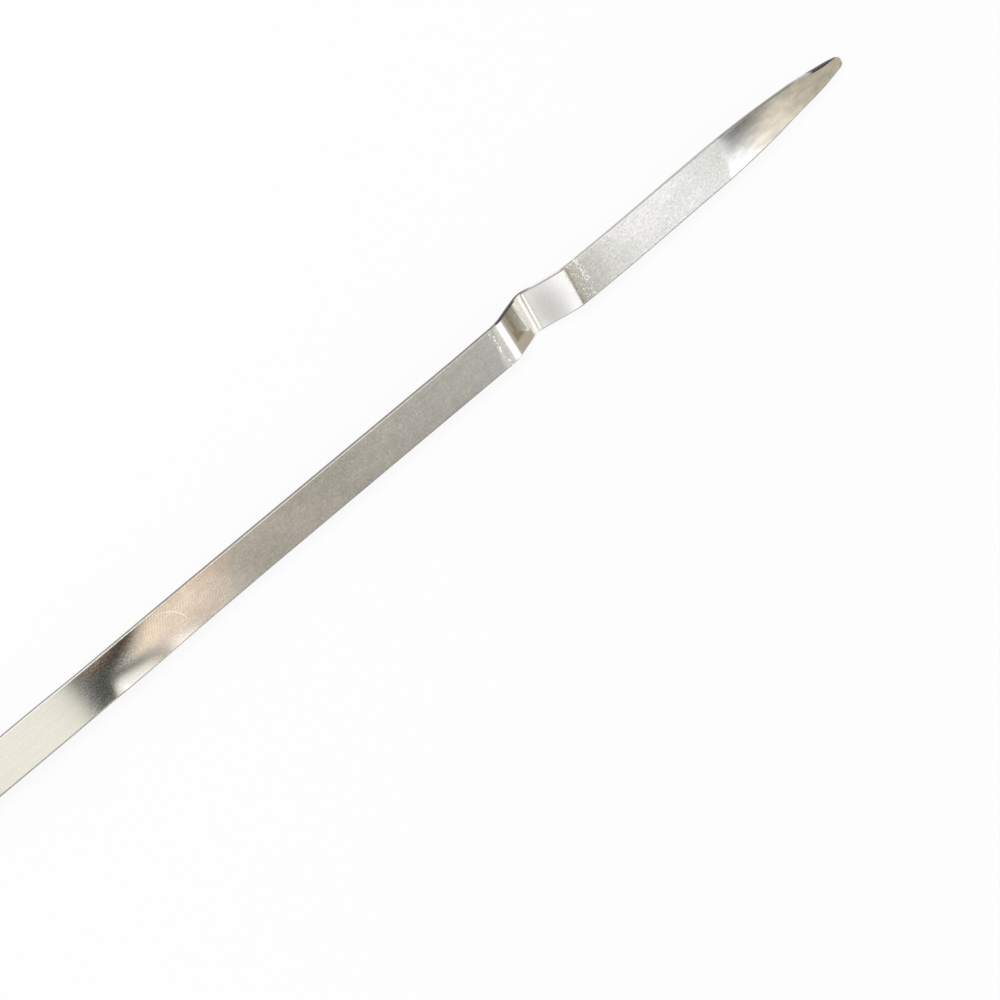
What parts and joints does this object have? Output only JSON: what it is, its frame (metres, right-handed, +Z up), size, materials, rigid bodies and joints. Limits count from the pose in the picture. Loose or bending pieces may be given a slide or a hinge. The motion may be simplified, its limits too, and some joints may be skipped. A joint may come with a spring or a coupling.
{
  "type": "engine oil dipstick",
  "caption": "Flat spring-steel oil dipstick blade with a pointed tip and a pressed V kink, held in a moulded finger-loop handle with a sealed round plug.",
  "frame": {"origin": "on the surface that the stick lies on, under the middle of its length", "axes": "+X along the blade towards its tip, +Y across it, +Z up out of the blade's upper face"},
  "size_m": [0.4584, 0.036, 0.0082],
  "materials": {
    "blade_steel": "satin cold-rolled strip",
    "handle_plastic": "fine moulded texture",
    "seal_rubber": "moulded"
  },
  "bodies": {
    "root": {"blade": "blade_steel", "handle": "handle_plastic", "seal_ring": "seal_rubber"}
  },
  "joints": []
}
